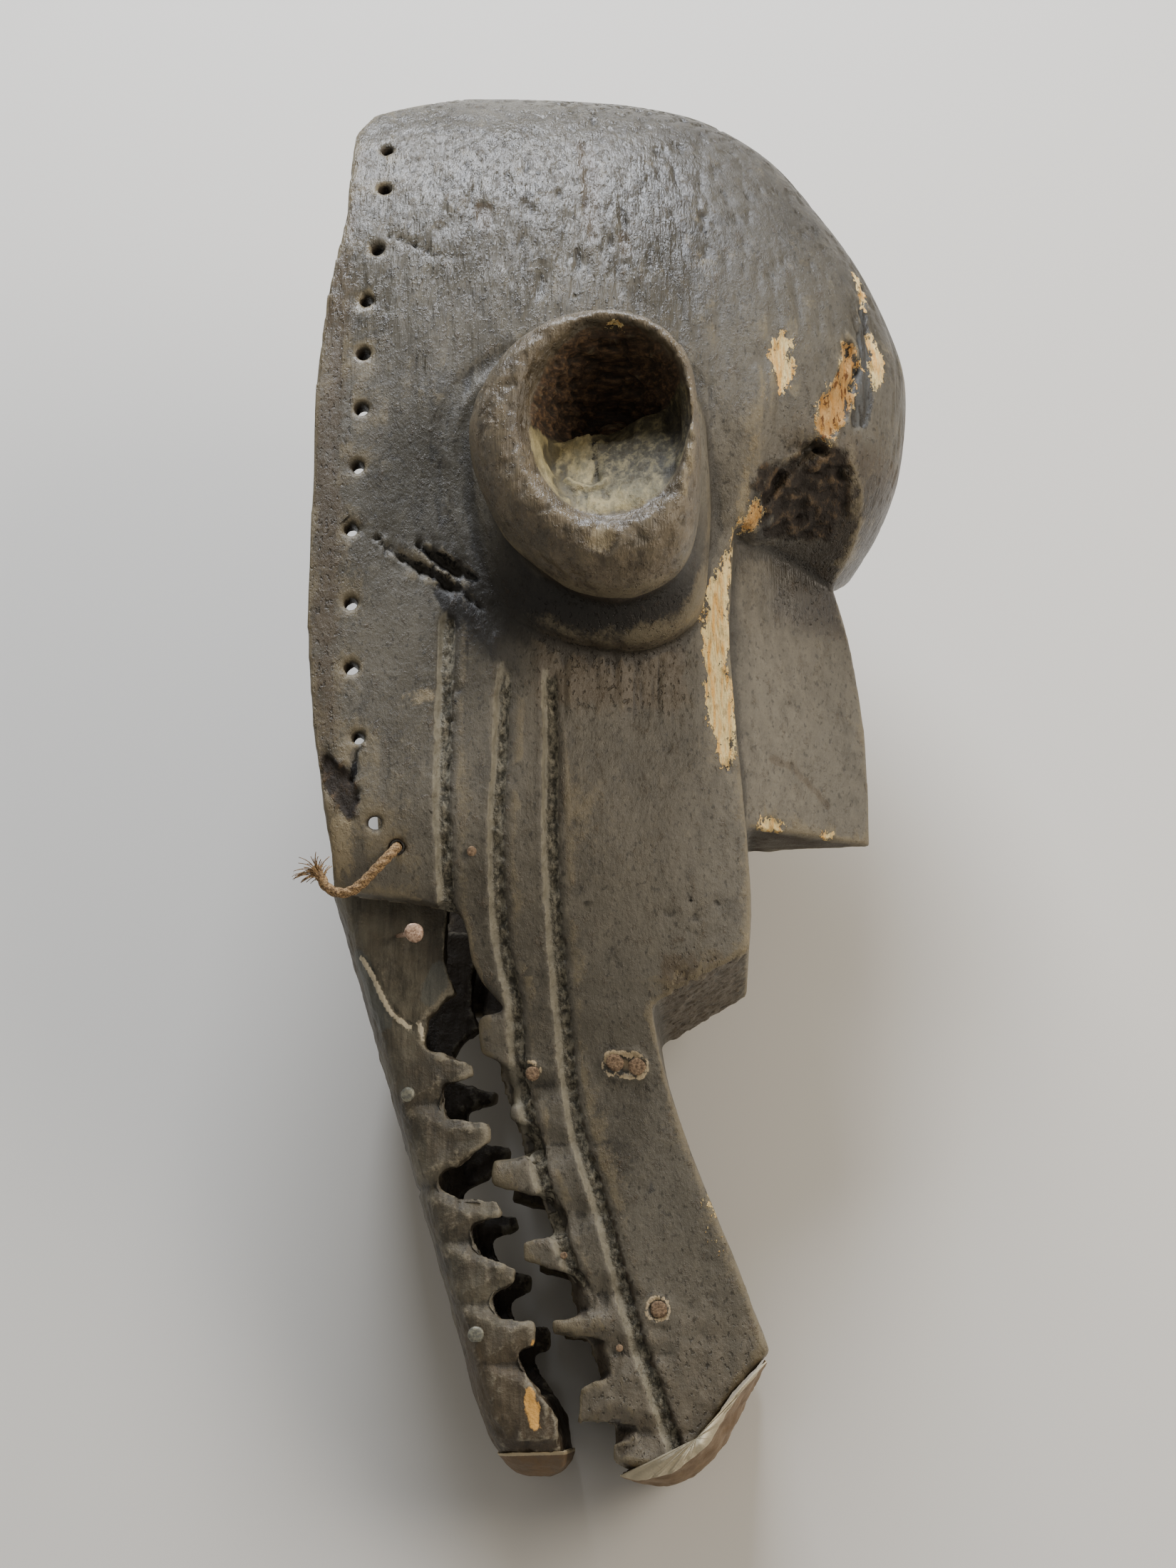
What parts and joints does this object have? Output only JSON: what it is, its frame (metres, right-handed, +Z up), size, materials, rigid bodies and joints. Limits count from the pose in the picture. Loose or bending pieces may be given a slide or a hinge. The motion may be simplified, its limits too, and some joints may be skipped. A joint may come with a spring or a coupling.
{
  "type": "carved wooden mask",
  "caption": "Carved wooden mask with a domed forehead, wedge nose, side sockets and a long toothed muzzle with a nailed-on jaw, lying on its side.",
  "frame": {"origin": "middle of the underside of the whole part's box, on the surface it lies on", "axes": "+Z up from that surface, +Y from the muzzle's end towards the crown, +X from the open back towards the face"},
  "size_m": [0.2942, 0.6996, 0.3357],
  "materials": {
    "dark_wood": "worn dark patina, a soft sheen on the dome",
    "jaw_wood": "dry, dull patina",
    "rusted_iron": "rusted",
    "grey_iron": "grey, dull",
    "tan_metal": "dull, tarnished",
    "dried_hide": "dry, stiff hide",
    "plant_fibre": "frayed twisted fibre"
  },
  "bodies": {
    "root": {"mask_body": "dark_wood", "lower_jaw": "jaw_wood", "cheek_nail_small": "rusted_iron", "muzzle_nail_ring": "rusted_iron", "muzzle_nail_pair_a": "rusted_iron", "muzzle_nail_pair_b": "rusted_iron", "muzzle_nail_low": "rusted_iron", "tooth_nail_a": "rusted_iron", "tooth_nail_b": "rusted_iron", "jaw_nail_upper": "grey_iron", "jaw_nail_lower": "grey_iron", "cheek_nail_proud": "tan_metal", "cheek_nail_far": "rusted_iron", "muzzle_hide": "dried_hide", "jaw_tip_hide": "dried_hide", "cord_remnant": "plant_fibre"}
  },
  "joints": []
}
